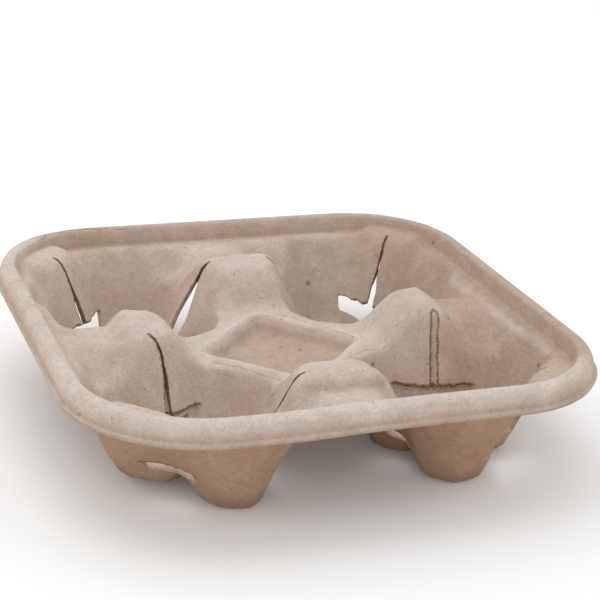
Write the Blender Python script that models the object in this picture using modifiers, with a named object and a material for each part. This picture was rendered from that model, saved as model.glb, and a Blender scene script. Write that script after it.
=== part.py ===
"""Four-cup carrier tray, moulded in one piece from paper pulp.

Metres, +Z up. The origin is the centre of the tray on the surface that it stands on.
One thin sheet is pressed into four cup pockets. Each pocket is a round bowl with three flat
panels, and each panel carries a slit shaped like an upturned T, so that it can give way to a
cup. Between the panels the bowl runs down into three feet. The four pockets hang in a deck
that drops from a rolled rim to a shallow recess in the middle.
"""

from math import cos, pi, radians, sin, sqrt

import bmesh
import bpy
import numpy as np

# Driving sizes of the whole tray
TRAY_SIZE = 0.215
TRAY_HEIGHT = 0.050
SHEET = 0.002
CORNER_RADIUS = 0.050
WEB_HALF = 0.0138
LEDGE_WIDTH = 0.0082

# Rim, from its inner foot over the crest to the lip
RIM_WIDTH = 0.0104
CREST_INSET = 0.0044
LIP_WIDTH = 0.0015
SHOULDER_ROUND = 0.0029
FLANGE_DROP = 0.0078

# Deck between the pockets, given by its drop below the crest
PLATFORM_DROP = 0.004
LEDGE_DROP = 0.008
SADDLE_DROP = 0.0185
RIDGE_DROP = 0.020

# Where the deck changes height: ways in and out from the line of the pockets' axes, and in from
# the tray's edge
RIDGE_RUN = 0.01435
SADDLE_RUN = 0.01865
SADDLE_INSET = 0.0275
LEDGE_INSET = 0.0145

# Raised platforms behind the panels: a knob on each middle line, a flat in each corner
KNOB_RUN = 0.00915
KNOB_HALF = 0.005
CORNER_HALF = 0.011
PLATFORM_EDGE = 0.008

# Square recess in the middle, turned by an eighth, and the ridge between it and a pocket
RIDGE_WIDTH = 0.0093
RECESS_CORNER = 0.005
RECESS_DEPTH = 0.005
RECESS_SLOPE = 1.8
RECESS_ROUND = 0.002

# Pocket, with shares of its panels' reach at platform height
HUB_HEIGHT = 0.0095
PANEL_FOOT_SHARE = 0.514
BOWL_FOOT_SHARE = 0.8256
BOWL_MOUTH_SHARE = 1.1856
HUB_FILLET = 0.003
PANEL_BLEND = 0.005
RIDGE_ROUND = 0.004
KNOB_ROUND = 0.009

# Feet, three under each pocket, with shares of the same reach, and the arm between two feet
FOOT_SHARE = 0.4794
ARM_WIDTH = 0.01038
FLANK_SHARE = 1.1662
SOLE_FILLET = 0.0025
FOOT_BLEND = 0.003

# Slit in each panel: an upright cut that stands on a wide slot
SLIT_WIDTH = 0.002
SLIT_RUN = 0.00195
SLOT_LENGTH_SHARE = 0.767
SLOT_RISE = 0.0085
SLOT_RUN = 0.0008
CUT_OVERRUN = 0.0003

# Counts and mesh steps
PANELS = 3
PANEL_TURN = radians(45)
OUTER_TURN = radians(180)
INNER_TURNS = np.radians((9, 17.5, 24, 29, 40, 50, 60, 74))
SIDE_STEPS = 4
CORNER_STEPS = 8
CREST_STEPS = 3
SHOULDER_STEPS = 3
SHOULDER_TURN = radians(70)
FLOOR_SHARES = (0.22, 0.34, 0.5, 0.67, 0.84)
WALL_SHARES = (0.0, 0.14, 0.38, 0.64, 0.84, 0.98)
DECK_SHARES = (0.18, 0.42, 0.7, 1.0)
RECESS_SHARES = (0.8, 0.9)

# Finish
PULP_COLOUR = (0.462, 0.396, 0.342, 1.0)
PULP_ROUGHNESS = 0.95
SHARP_ANGLE = radians(40)
MERGE_DISTANCE = 0.00001

# Places that follow from the sizes above
HALF_SIZE = TRAY_SIZE / 2
PANEL_MOUTH = (HALF_SIZE - RIM_WIDTH - LEDGE_WIDTH - WEB_HALF) / 2
AXIS = WEB_HALF + PANEL_MOUTH
PLATFORM_HEIGHT = TRAY_HEIGHT - PLATFORM_DROP
LEDGE_HEIGHT = TRAY_HEIGHT - LEDGE_DROP
SADDLE_HEIGHT = TRAY_HEIGHT - SADDLE_DROP
RIDGE_HEIGHT = TRAY_HEIGHT - RIDGE_DROP
LIP_HEIGHT = TRAY_HEIGHT - FLANGE_DROP
RIDGE_END = AXIS - RIDGE_RUN
SADDLE_START = AXIS + SADDLE_RUN
SADDLE_END = HALF_SIZE - SADDLE_INSET
LEDGE_START = HALF_SIZE - LEDGE_INSET
KNOB_CENTRE = AXIS + KNOB_RUN
PANEL_DISTANCE = PANEL_MOUTH * PANEL_FOOT_SHARE
PANEL_SLOPE = (PLATFORM_HEIGHT - HUB_HEIGHT) / (PANEL_MOUTH - PANEL_DISTANCE)
BOWL_RADIUS = PANEL_MOUTH * BOWL_FOOT_SHARE
BOWL_SLOPE = (PLATFORM_HEIGHT - HUB_HEIGHT) / (PANEL_MOUTH * BOWL_MOUTH_SHARE - BOWL_RADIUS)
FOOT_REACH = PANEL_MOUTH * FOOT_SHARE
SOLE_RADIUS = FOOT_REACH * sin(pi / PANELS) - ARM_WIDTH / 2
FOOT_SLOPE = (LEDGE_HEIGHT - SHEET) / (PANEL_MOUTH * FLANK_SHARE - FOOT_REACH - SOLE_RADIUS)
BOWL_AT_RIDGE = BOWL_RADIUS + (RIDGE_HEIGHT - HUB_HEIGHT) / BOWL_SLOPE
RECESS_HALF = AXIS * sqrt(2) - BOWL_AT_RIDGE - RIDGE_WIDTH
SLIT_END = PANEL_MOUTH + SLIT_RUN
SLOT_START = PANEL_DISTANCE - SLOT_RUN
SLOT_TOP = HUB_HEIGHT + SLOT_RISE
SLOT_LENGTH = PANEL_MOUTH * SLOT_LENGTH_SHARE


def clear_scene():
    """Remove every object that the scene starts with."""
    for item in list(bpy.data.objects):
        bpy.data.objects.remove(item, do_unlink=True)


def new_collection(name):
    """Add a collection to the scene."""
    collection = bpy.data.collections.new(name)
    bpy.context.scene.collection.children.link(collection)
    return collection


def pulp_material():
    """Matt grey-brown paper pulp."""
    material = bpy.data.materials.new("paper_pulp")
    material.use_nodes = True
    shader = material.node_tree.nodes["Principled BSDF"]
    shader.inputs["Base Color"].default_value = PULP_COLOUR
    shader.inputs["Roughness"].default_value = PULP_ROUGHNESS
    shader.inputs["Metallic"].default_value = 0.0
    return material


def smooth_max(first, second, blend):
    """The larger of two heights, rounded where they differ by less than the blend."""
    overlap = np.maximum(blend - np.abs(first - second), 0.0) / blend
    return np.maximum(first, second) + overlap ** 2 * blend / 4


def smooth_min(first, second, blend):
    """The smaller of two heights, rounded where they differ by less than the blend."""
    return -smooth_max(-first, -second, blend)


def ease(share):
    """Rise from 0 to 1 with level ends."""
    level = np.clip(share, 0.0, 1.0)
    return level * level * (3 - 2 * level)


def turn_angles(offset_share):
    """Angles of the panels, or of what lies between them, about a pocket's axis."""
    return [PANEL_TURN + (step + offset_share) * 2 * pi / PANELS for step in range(PANELS)]


def foot_height(u, v, angle):
    """Height of one foot's upper face: a level sole inside a steep flank."""
    gap = np.hypot(u - FOOT_REACH * cos(angle), v - FOOT_REACH * sin(angle))
    flank = SHEET + (gap - SOLE_RADIUS) * FOOT_SLOPE
    return smooth_max(flank, SHEET, SOLE_FILLET)


def pocket_height(x, y):
    """Height of a pocket's upper face: a bowl cut off by flat panels, with three feet."""
    u = x - AXIS
    v = y - AXIS
    height = np.full_like(u, HUB_HEIGHT)
    for angle in turn_angles(0):
        distance = u * cos(angle) + v * sin(angle)
        panel = HUB_HEIGHT + (distance - PANEL_DISTANCE) * PANEL_SLOPE
        height = smooth_max(height, panel, HUB_FILLET)
    bowl = HUB_HEIGHT + (np.hypot(u, v) - BOWL_RADIUS) * BOWL_SLOPE
    height = smooth_max(height, bowl, PANEL_BLEND)
    for angle in turn_angles(0.5):
        height = smooth_min(height, foot_height(u, v, angle), FOOT_BLEND)
    return height


def recess_height(x, y):
    """Height of the middle recess: a level floor in a square with round corners."""
    inner = RECESS_HALF - RECESS_CORNER
    along = (x + y) / sqrt(2) - inner
    across = np.abs(x - y) / sqrt(2) - inner
    outside = np.hypot(np.maximum(along, 0.0), np.maximum(across, 0.0))
    gap = outside + np.minimum(np.maximum(along, across), 0.0) - RECESS_CORNER
    return smooth_max(RIDGE_HEIGHT + gap * RECESS_SLOPE, RIDGE_HEIGHT - RECESS_DEPTH, RECESS_ROUND)


def platform_share(x, y):
    """How far the deck is raised to a platform: 1 on the knobs and corner flats, 0 away from them."""
    knob = KNOB_HALF + PLATFORM_EDGE - np.abs(np.maximum(x, y) - KNOB_CENTRE)
    corner = CORNER_HALF + PLATFORM_EDGE - np.abs(x - y) / sqrt(2)
    in_corner = x + y > 2 * AXIS
    return np.maximum(ease(knob / PLATFORM_EDGE), ease(corner / PLATFORM_EDGE) * in_corner)


def deck_height(x, y):
    """Height of the deck: ridges round the recess, saddles, a ledge by the rim, and platforms."""
    reach = np.maximum(x, y)
    saddle = ease((reach - RIDGE_END) / (SADDLE_START - RIDGE_END))
    ledge = ease((reach - SADDLE_END) / (LEDGE_START - SADDLE_END))
    deck = RIDGE_HEIGHT + (SADDLE_HEIGHT - RIDGE_HEIGHT) * saddle + (LEDGE_HEIGHT - SADDLE_HEIGHT) * ledge
    deck = deck + (PLATFORM_HEIGHT - deck) * platform_share(x, y)
    return smooth_min(deck, recess_height(x, y), RECESS_ROUND)


def sheet_height(x, y):
    """Height of the upper face inside the rim, for positive x and y. High mouths are rounder."""
    deck = deck_height(x, y)
    share = ease((deck - RIDGE_HEIGHT) / (PLATFORM_HEIGHT - RIDGE_HEIGHT))
    return smooth_min(deck, pocket_height(x, y), RIDGE_ROUND + (KNOB_ROUND - RIDGE_ROUND) * share)


def ray_angles():
    """Angles of the rays about a pocket's axis: even to the rim, closer together to the recess."""
    outer = PANEL_TURN + OUTER_TURN * (np.linspace(0.0, 1.0, 2 * SIDE_STEPS + CORNER_STEPS + 1) - 0.5)
    inner = np.concatenate([-INNER_TURNS[::-1], [0.0], INNER_TURNS])
    return np.concatenate([outer, PANEL_TURN + pi + inner])


def rim_path(inset):
    """Plan points of a quarter of the rim, a given way in from its edge, from the X to the Y axis."""
    centre = HALF_SIZE - CORNER_RADIUS
    along = np.linspace(0.0, centre, SIDE_STEPS, endpoint=False)
    side = np.column_stack([np.full_like(along, HALF_SIZE - inset), along])
    turn = np.linspace(0.0, pi / 2, CORNER_STEPS + 1)
    corner = centre + (CORNER_RADIUS - inset) * np.column_stack([np.cos(turn), np.sin(turn)])
    return np.vstack([side, corner, side[::-1, ::-1]])


def quarter_border(angles):
    """Outer end of each ray of a quarter: the rim's foot on two sides, the middle lines on two."""
    outer = rim_path(RIM_WIDTH)
    inner = angles[len(outer):]
    direction = np.column_stack([np.cos(inner), np.sin(inner)])
    reach = AXIS / np.max(-direction, axis=1, keepdims=True)
    hits = (AXIS + direction * reach) * (HALF_SIZE - RIM_WIDTH) / (2 * AXIS)
    return np.vstack([outer, hits])


def deck_shares(mouth, border):
    """Where each ring crosses each ray between mouth and border. Two rings follow the recess."""
    start = mouth.sum(axis=1)
    end = border.sum(axis=1)
    edge = (start - RECESS_HALF * sqrt(2)) / (start - end)
    floor = (start - (RECESS_HALF - RECESS_DEPTH / RECESS_SLOPE) * sqrt(2)) / (start - end)
    crossing = end < RECESS_HALF * sqrt(2)
    shares = np.repeat(np.array(DECK_SHARES)[:, None], len(mouth), axis=1)
    shares[0, crossing] = np.minimum(edge[crossing], RECESS_SHARES[0])
    shares[1, crossing] = np.minimum(floor[crossing], RECESS_SHARES[1])
    shares[2, crossing] = (shares[1, crossing] + 1) / 2
    return shares


def quarter_rings():
    """Plan points of the rings of a quarter, from near the pocket's axis out to its border."""
    angles = ray_angles()
    lobe = 0.5 - 0.5 * np.cos(PANELS * (angles - PANEL_TURN))
    sole_edge = FOOT_REACH + SOLE_RADIUS
    panel_run = (PLATFORM_HEIGHT - HUB_HEIGHT) / PANEL_SLOPE
    lobe_run = (LEDGE_HEIGHT - SHEET) / FOOT_SLOPE
    radii = [share * (PANEL_DISTANCE + (sole_edge - PANEL_DISTANCE) * lobe) for share in FLOOR_SHARES]
    for share in WALL_SHARES:
        panel_radius = PANEL_DISTANCE + share * panel_run
        lobe_radius = sole_edge + share * lobe_run
        radii.append(panel_radius + (lobe_radius - panel_radius) * lobe)
    direction = np.column_stack([np.cos(angles), np.sin(angles)])
    rings = [AXIS + radius[:, None] * direction for radius in radii]
    mouth = rings[-1]
    border = quarter_border(angles)
    rings.extend(mouth + share[:, None] * (border - mouth) for share in deck_shares(mouth, border))
    return rings


def rim_rows(foot_height_row):
    """Rows of the rim in space, from just above its inner foot over the crest to the lip's edge."""
    rows = []
    for share in np.linspace(0.0, 1.0, CREST_STEPS + 1)[1:]:
        inset = RIM_WIDTH + (CREST_INSET - RIM_WIDTH) * share
        height = foot_height_row + (TRAY_HEIGHT - foot_height_row) * sin(share * pi / 2)
        rows.append(np.column_stack([rim_path(inset), height]))
    outer = []
    for turn in np.linspace(0.0, SHOULDER_TURN, SHOULDER_STEPS + 1)[1:]:
        drop = SHOULDER_ROUND * (1 - cos(turn))
        outer.append((CREST_INSET - SHOULDER_ROUND * sin(turn), TRAY_HEIGHT - drop))
    outer.append((LIP_WIDTH, LIP_HEIGHT))
    outer.append((0.0, LIP_HEIGHT))
    for inset, height in outer:
        path = rim_path(inset)
        rows.append(np.column_stack([path, np.full(len(path), height)]))
    return rows


def add_strip(mesh, near, far, closed):
    """Fill the band between two rows of vertices with four-sided faces."""
    count = len(near) if closed else len(near) - 1
    for step in range(count):
        after = (step + 1) % len(near)
        mesh.faces.new((near[step], far[step], far[after], near[after]))


def quarter_mesh():
    """Loft a quarter of the tray's upper face through its rings and the rows of its rim."""
    mesh = bmesh.new()
    hub = mesh.verts.new((AXIS, AXIS, float(sheet_height(np.array([AXIS]), np.array([AXIS]))[0])))
    previous = None
    for ring in quarter_rings():
        heights = sheet_height(ring[:, 0], ring[:, 1])
        row = [mesh.verts.new(point) for point in np.column_stack([ring, heights])]
        if previous is None:
            for step, vertex in enumerate(row):
                mesh.faces.new((hub, vertex, row[(step + 1) % len(row)]))
        else:
            add_strip(mesh, previous, row, closed=True)
        previous = row
    rim_foot = previous[:len(rim_path(RIM_WIDTH))]
    near = rim_foot
    for points in rim_rows(np.array([vertex.co.z for vertex in rim_foot])):
        far = [mesh.verts.new(point) for point in points]
        add_strip(mesh, near, far, closed=False)
        near = far
    data = bpy.data.meshes.new("cup_tray")
    mesh.to_mesh(data)
    mesh.free()
    return data


def slit_mesh():
    """Cutter for one slit: the outline of an upturned T, drawn out along the panel's direction."""
    bottom = HUB_HEIGHT - SHEET - CUT_OVERRUN
    top = TRAY_HEIGHT + CUT_OVERRUN
    half_slot = SLOT_LENGTH / 2
    half_slit = SLIT_WIDTH / 2
    outline = (
        (-half_slot, bottom), (half_slot, bottom), (half_slot, SLOT_TOP), (half_slit, SLOT_TOP),
        (half_slit, top), (-half_slit, top), (-half_slit, SLOT_TOP), (-half_slot, SLOT_TOP),
    )
    mesh = bmesh.new()
    face = mesh.faces.new([mesh.verts.new((SLOT_START, side, height)) for side, height in outline])
    drawn = bmesh.ops.extrude_face_region(mesh, geom=[face])["geom"]
    moved = [item for item in drawn if isinstance(item, bmesh.types.BMVert)]
    bmesh.ops.translate(mesh, verts=moved, vec=(SLIT_END - SLOT_START, 0.0, 0.0))
    bmesh.ops.recalc_face_normals(mesh, faces=mesh.faces)
    data = bpy.data.meshes.new("slit_cutter")
    mesh.to_mesh(data)
    mesh.free()
    return data


def add_slit_cutters(collection):
    """Place a cutter at each panel of each pocket, the pockets mirrored about both middle lines."""
    data = slit_mesh()
    for side_x in (1, -1):
        for side_y in (1, -1):
            for angle in turn_angles(0):
                cutter = bpy.data.objects.new("slit_cutter", data)
                cutter.location = (side_x * AXIS, side_y * AXIS, 0.0)
                cutter.rotation_euler.z = np.arctan2(side_y * sin(angle), side_x * cos(angle))
                cutter.hide_render = True
                cutter.display_type = "WIRE"
                collection.objects.link(cutter)


def build_tray():
    """Mirror the quarter, give the sheet its thickness and cut the slits."""
    parts = new_collection("cup_carrier")
    cutters = new_collection("cutters")
    add_slit_cutters(cutters)
    tray = bpy.data.objects.new("cup_tray", quarter_mesh())
    parts.objects.link(tray)
    tray.data.materials.append(pulp_material())
    tray.data.shade_smooth()
    tray.data.set_sharp_from_angle(angle=SHARP_ANGLE)

    mirror = tray.modifiers.new("quarters", "MIRROR")
    mirror.use_axis = (True, True, False)
    mirror.merge_threshold = MERGE_DISTANCE

    sheet = tray.modifiers.new("sheet", "SOLIDIFY")
    sheet.thickness = SHEET
    sheet.offset = -1.0
    sheet.use_quality_normals = True

    slits = tray.modifiers.new("slits", "BOOLEAN")
    slits.operation = "DIFFERENCE"
    slits.operand_type = "COLLECTION"
    slits.collection = cutters
    slits.solver = "EXACT"


clear_scene()
build_tray()
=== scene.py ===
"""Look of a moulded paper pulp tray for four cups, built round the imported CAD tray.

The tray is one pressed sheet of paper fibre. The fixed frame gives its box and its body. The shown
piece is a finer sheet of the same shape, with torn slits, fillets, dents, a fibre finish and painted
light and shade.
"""

import logging
from dataclasses import dataclass, field
from enum import Enum

import bpy
import numpy as np
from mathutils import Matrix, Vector


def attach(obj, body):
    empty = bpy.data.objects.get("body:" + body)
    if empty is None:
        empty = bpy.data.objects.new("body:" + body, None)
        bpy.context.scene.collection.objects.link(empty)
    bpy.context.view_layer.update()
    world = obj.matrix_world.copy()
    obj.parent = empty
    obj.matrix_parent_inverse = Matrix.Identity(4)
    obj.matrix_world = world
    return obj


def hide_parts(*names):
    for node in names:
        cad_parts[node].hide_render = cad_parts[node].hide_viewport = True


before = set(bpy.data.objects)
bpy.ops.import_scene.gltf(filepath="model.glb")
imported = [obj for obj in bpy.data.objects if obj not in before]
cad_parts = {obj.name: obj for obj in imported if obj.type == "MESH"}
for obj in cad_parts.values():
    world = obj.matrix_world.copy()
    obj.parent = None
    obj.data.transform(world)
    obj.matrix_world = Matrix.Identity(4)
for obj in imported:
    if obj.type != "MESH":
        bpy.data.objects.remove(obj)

Array = np.ndarray
Socket = bpy.types.NodeSocket
Point = tuple[float, float, float]
LOG = logging.getLogger("cup_tray")
MM = 0.001
MATH = "ShaderNodeMath"
VECTOR = "ShaderNodeVectorMath"
MIX = "ShaderNodeMix"
RANGE = "ShaderNodeMapRange"
NOISE = "ShaderNodeTexNoise"
SMOOTH = {"interpolation_type": "SMOOTHSTEP"}
RGBA = {"data_type": "RGBA"}


def smooth_max(first: Array, second: Array, blend: float) -> Array:
    """The larger of two heights, rounded where they differ by less than the blend."""
    overlap = np.maximum(blend - np.abs(first - second), 0.0) / blend
    return np.maximum(first, second) + overlap**2 * blend / 4


def smooth_min(first: Array, second: Array, blend: float) -> Array:
    """The smaller of two heights, rounded where they differ by less than the blend."""
    return -smooth_max(-first, -second, blend)


def ease(share: Array) -> Array:
    """Rise from 0 to 1 with level ends: s squared times (3 - 2 s)."""
    level = np.clip(share, 0.0, 1.0)
    return level * level * (3 - 2 * level)


def fillet(upper: Array, gap: Array, slope: Array, radius: float) -> Array:
    """Round the edge where a deck falls away into a slope with a true arc.

    With x = gap / slope the way past the edge and a turn of atan(slope), the drop is the arc
    r - sqrt(r^2 - (x + r tan(turn / 2))^2) between the two tangent points, and slope times x after.

    Args:
        upper: Heights of the deck.
        gap: How far the sloping face lies below the deck, negative before the edge.
        slope: Steepness of the sloping face.
        radius: Radius of the arc.

    Returns:
        Heights of the rounded edge.
    """
    turn = np.arctan(slope)
    tangent = radius * np.tan(turn / 2)
    way = gap / slope
    arc = radius - np.sqrt(np.maximum(radius**2 - np.clip(way + tangent, 0.0, radius) ** 2, 0.0))
    drop = np.where(way > tangent * np.cos(turn), slope * way, arc)
    return upper - np.where(way < -tangent, 0.0, drop)


def waves(x: Array, y: Array, length: float, seed: int, count: int = 14) -> Array:
    """Soft unevenness from -1 to 1: the mean of seeded cosines of about one wavelength."""
    random = np.random.default_rng(seed)
    turn = random.uniform(0, np.pi, count)
    number = 2 * np.pi / (length * random.uniform(0.7, 1.5, count))
    phase = random.uniform(0, 2 * np.pi, count)
    total = np.zeros_like(x)
    for angle, rate, start in zip(turn, number, phase):
        total += np.cos((x * np.cos(angle) + y * np.sin(angle)) * rate + start)
    return total / np.sqrt(count * 2.0)


class Quarter(Enum):
    """Quarters of the tray, as the signs of x and y."""

    NORTH_EAST = (1, 1)
    NORTH_WEST = (-1, 1)
    SOUTH_WEST = (-1, -1)
    SOUTH_EAST = (1, -1)


class Panel(Enum):
    """Panels of a pocket, as the turn of each about the pocket's axis in degrees."""

    CORNER = 45
    FACING_X = 165
    FACING_Y = 285


@dataclass(frozen=True)
class TrayShape:
    """Upper face of the sheet as a height over the plan, in metres, mirrored about both middle lines."""

    half_size: float = 0.1075
    height: float = 0.050
    corner_radius: float = 0.050
    axis: float = 0.05135
    rim_width: float = 0.0104
    platform: float = 0.046
    ledge: float = 0.042
    saddle: float = 0.0410
    saddle_fall: float = 0.0095
    saddle_half: float = 0.006
    saddle_side: float = 0.020
    ridge: float = 0.030
    ridge_end: float = 0.037
    saddle_start: float = 0.062
    saddle_end: float = 0.084
    ledge_start: float = 0.094
    knob_start: float = 0.0370
    knob_inner: float = 0.0575
    knob_outer: float = 0.0640
    knob_end: float = 0.0735
    corner_half: float = 0.011
    platform_edge: float = 0.008
    recess_half: float = 0.0247
    recess_corner: float = 0.005
    recess_depth: float = 0.0064
    recess_slope: float = 1.8
    recess_blend: float = 0.0016
    hub: float = 0.0095
    sole: float = 0.002
    panel_distance: float = 0.0193
    panel_slope: float = 2.0
    panel_blend: float = 0.0065
    bowl_radius: float = 0.031
    bowl_slope: float = 2.7
    bowl_blend: float = 0.005
    foot_reach: float = 0.0180
    sole_radius: float = 0.0104
    foot_slope: float = 2.6
    foot_blend: float = 0.0082
    foot_corners: float = 0.45
    sole_blend: float = 0.0028
    edge_radius: float = 0.0027
    saddle_radius: float = 0.0060
    knob_radius: float = 0.0085
    recess_radius: float = 0.0021

    def pocket(self, x: Array, y: Array) -> Array:
        """A bowl cut off by flat panels: the highest of hub, panels and bowl, the lowest of that and feet."""
        u = x - self.axis
        v = y - self.axis
        height = np.full_like(u, self.hub)
        turns = np.radians([panel.value for panel in Panel])
        for turn in turns:
            reach = u * np.cos(turn) + v * np.sin(turn)
            panel = self.hub + (reach - self.panel_distance) * self.panel_slope
            height = smooth_max(height, panel, self.panel_blend)
        bowl = self.hub + (np.hypot(u, v) - self.bowl_radius) * self.bowl_slope
        height = smooth_max(height, bowl, self.bowl_blend)
        for turn in turns + np.pi / 3:
            over, beside = u - self.foot_reach * np.cos(turn), v - self.foot_reach * np.sin(turn)
            # Six soft corners: a flank lies nearer to the foot's middle half-way between two of them.
            bearing = np.mod(np.arctan2(beside, over) - turn, np.pi / 3) - np.pi / 6
            gap = np.hypot(over, beside) * (1 - self.foot_corners + self.foot_corners * np.cos(bearing))
            flank = self.sole + (gap - self.sole_radius) * self.foot_slope
            foot = smooth_max(flank, np.full_like(u, self.sole), self.sole_blend)
            height = smooth_min(height, foot, self.foot_blend)
        return height

    def recess(self, x: Array, y: Array) -> Array:
        """Height of the slope into the middle recess, a square turned by an eighth with round corners."""
        inner = self.recess_half - self.recess_corner
        along = (x + y) / np.sqrt(2) - inner
        across = np.abs(x - y) / np.sqrt(2) - inner
        outside = np.hypot(np.maximum(along, 0.0), np.maximum(across, 0.0))
        gap = outside + np.minimum(np.maximum(along, across), 0.0) - self.recess_corner
        return self.ridge + gap * self.recess_slope

    def deck(self, x: Array, y: Array) -> Array:
        """Ridges, saddles and ledge joined by eased steps, raised to the knobs and corner platforms."""
        reach = np.maximum(x, y)
        saddle = ease((reach - self.ridge_end) / (self.saddle_start - self.ridge_end))
        ledge = ease((reach - self.saddle_end) / (self.ledge_start - self.saddle_end))
        beside = ease((np.minimum(x, y) - self.saddle_half) / self.saddle_side)
        crown = self.saddle - self.saddle_fall * beside
        deck = self.ridge + (crown - self.ridge) * saddle + (self.ledge - crown) * ledge
        rise = ease((reach - self.knob_start) / (self.knob_inner - self.knob_start))
        knob = rise * ease((self.knob_end - reach) / (self.knob_end - self.knob_outer))
        corner = self.corner_half + self.platform_edge - np.abs(x - y) / np.sqrt(2)
        flat = ease(corner / self.platform_edge) * (x + y > 2 * self.axis)
        deck = deck + (self.platform - deck) * np.maximum(knob, flat)
        slope = self.recess(x, y)
        floor = np.full_like(x, self.ridge - self.recess_depth)
        rounded = fillet(deck, deck - slope, np.full_like(x, self.recess_slope), self.recess_radius)
        return smooth_max(rounded, floor, self.recess_blend)

    def face(self, x: Array, y: Array) -> Array:
        """Deck with the pockets let in: where a pocket's wall passes under the deck, an arc joins them."""
        step = 0.0002
        deck = self.deck(x, y)
        gap = deck - self.pocket(x, y)
        rise_x = self.deck(x + step, y) - self.pocket(x + step, y) - gap
        rise_y = self.deck(x, y + step) - self.pocket(x, y + step) - gap
        slope = np.clip(np.hypot(rise_x, rise_y) / step, 1.2, 3.2)
        reach = np.maximum(x, y)
        high = ease((deck - self.ridge) / (self.platform - self.ridge))
        # The arcs are wide on saddles and knobs, which lie from 36 to 98 mm off the middle lines.
        open_deck = ease((reach - 0.036) / 0.016) * ease((0.098 - reach) / 0.014)
        radius = self.edge_radius + (self.saddle_radius - self.edge_radius) * open_deck
        radius = radius + (self.knob_radius - radius) * high * open_deck
        return fillet(deck, gap, slope, radius)

    def shade(self, east: Array, north: Array, z: Array) -> Array:
        """Painted light and shade: from -1, painted light on tops, to 1, painted brown shade in the rim's
        groove.

        Each term goes from 0 to 1 between two places in metres, and the strongest one counts.

        Args:
            east: Places along x, signed, as the painted light and shade differ from side to side.
            north: Places along y, signed.
            z: Heights.

        Returns:
            A share for each point.
        """
        x, y = np.abs(east), np.abs(north)
        middle = self.half_size - self.corner_radius
        inset = self.corner_radius - np.hypot(np.maximum(x - middle, 0.0), np.maximum(y - middle, 0.0))
        near = ease((-north - 0.070) / 0.030)
        left = ease((-east - 0.080) / 0.020)
        right = ease((east - 0.045) / 0.035) * (1 - near)
        crest = ease((z - 0.0470) / 0.0025)
        top = ease((z - 0.0425) / 0.003) * (inset > 0.0105)
        slope = self.recess(x, y)
        # The recess: ridges 4 mm wide painted pale as highlights round a floor painted browner as shade.
        floor = ease(np.clip((self.ridge - slope) / 0.003, 0.0, 1.0))
        floor = floor * ease((self.ridge - 0.0025 - z) / 0.002) * (z > 0.020)
        ridge = np.exp(-(((slope - self.ridge - 0.0030) / 0.0042) ** 2))
        ridge = ridge * ease((z - 0.0270) / 0.003) * (np.maximum(x, y) < 0.040)
        pocket = ease((self.ridge - z) / 0.006) * (1 - floor)
        # The rim: an inner wall painted brown as shade, a crest painted pale as lit in front and at the left,
        # and painted shade in the groove over the bead.
        wall = ease((inset - 0.0068) / 0.001) * ease((0.0105 - inset) / 0.001) * ease((0.0488 - z) / 0.002)
        groove = np.exp(-(((inset - 0.0016) / 0.0008) ** 2)) * ease((0.0465 - z) / 0.003)
        bead = ease((0.0008 - inset) / 0.0005)
        rim_light = crest * np.clip(0.05 + 0.75 * near + 0.45 * left, 0.0, 0.8)
        # Painted shade on the back crest and over the right side, and painted light on tops away from the
        # right.
        back = 0.45 * ease((north - 0.085) / 0.015) * crest
        right_side = np.maximum(0.70 * right, 0.35 * ease((east - 0.020) / 0.030) * top)
        light = np.maximum.reduce([0.7 * ridge, 0.3 * top * (1 - right), rim_light])
        dark = [0.65 * floor, 0.95 * groove, 0.8 * wall * (1 - 0.6 * left), 0.10 * pocket, 0.4 * bead]
        dark = np.maximum.reduce([*dark, right_side, back])
        return dark - light * (1 - dark)


@dataclass(frozen=True)
class Slit:
    """Torn cut in one panel, shaped like an upturned T, in metres in the panel's own frame.

    Across is measured along the panel, positive to the left of the way from the pocket's axis.

    Attributes:
        quarter, panel: Where the slit is.
        widths: Width of the stem at even steps from its foot to its end.
        across: How far the stem's middle lies off the panel's middle, at even steps too.
        slot_left, slot_right: Height of the bar on each side of the stem.
        opened: First and last ray of the bar that is open, counted from the stem.
        rows: Rows of faces that are taken out where the bar is open.
        press: How far the strip in the bar is pushed outwards.
        step: How far one side of the stem stands out past the other.
        closed: How deep a stem that is shut lies in its groove, 0 for an open one.
        tear_and_shade: Share of the torn colour, which also paints shade into the narrow slit, along the
            stem, which has it in full at its end.
        marked: Whether the stem shows any torn colour and painted shade.
        start, end: Ways from the pocket's axis to the stem's foot and to its end.
        seed, rough, ripples: Seed of its fine waves, how far they swing, and their lengths at the sides.
        tip, tip_share: Way before the end over which the stem closes, and the share that stays open.
    """

    quarter: Quarter
    panel: Panel
    widths: tuple[float, ...] = (0.0012, 0.0008, 0.0007)
    across: tuple[float, ...] = (0.0, 0.0, 0.0)
    slot_left: float = 0.008
    slot_right: float = 0.008
    opened: tuple[int, int] = (-17, 17)
    rows: int = 5
    press: float = 0.0
    step: float = 0.0
    closed: float = 0.0
    tear_and_shade: float = 1.0
    marked: bool = True
    end: float = 0.0395
    seed: int = 1
    start: float = 0.019
    rough: float = 0.00022
    ripples: tuple[float, float] = (0.0035, 0.0030)
    tip: float = 0.002
    tip_share: float = 0.15

    def edges(self, reach: Array) -> tuple[Array, Array]:
        """Where the two torn edges run: the middle line plus and minus half the width, with fine waves."""
        half = np.interp(reach, np.linspace(self.start, self.end, len(self.widths)), self.widths) / 2
        middle = np.interp(reach, np.linspace(self.start, self.end, len(self.across)), self.across)
        left = self.rough * waves(reach, reach * 0, self.ripples[0], self.seed)
        right = self.rough * waves(reach, reach * 0, self.ripples[1], self.seed + 50)
        closing = np.clip((self.end - reach) / self.tip, self.tip_share, 1.0)
        half = half * closing
        return middle - half + left * closing, middle + half + right * closing


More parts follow.
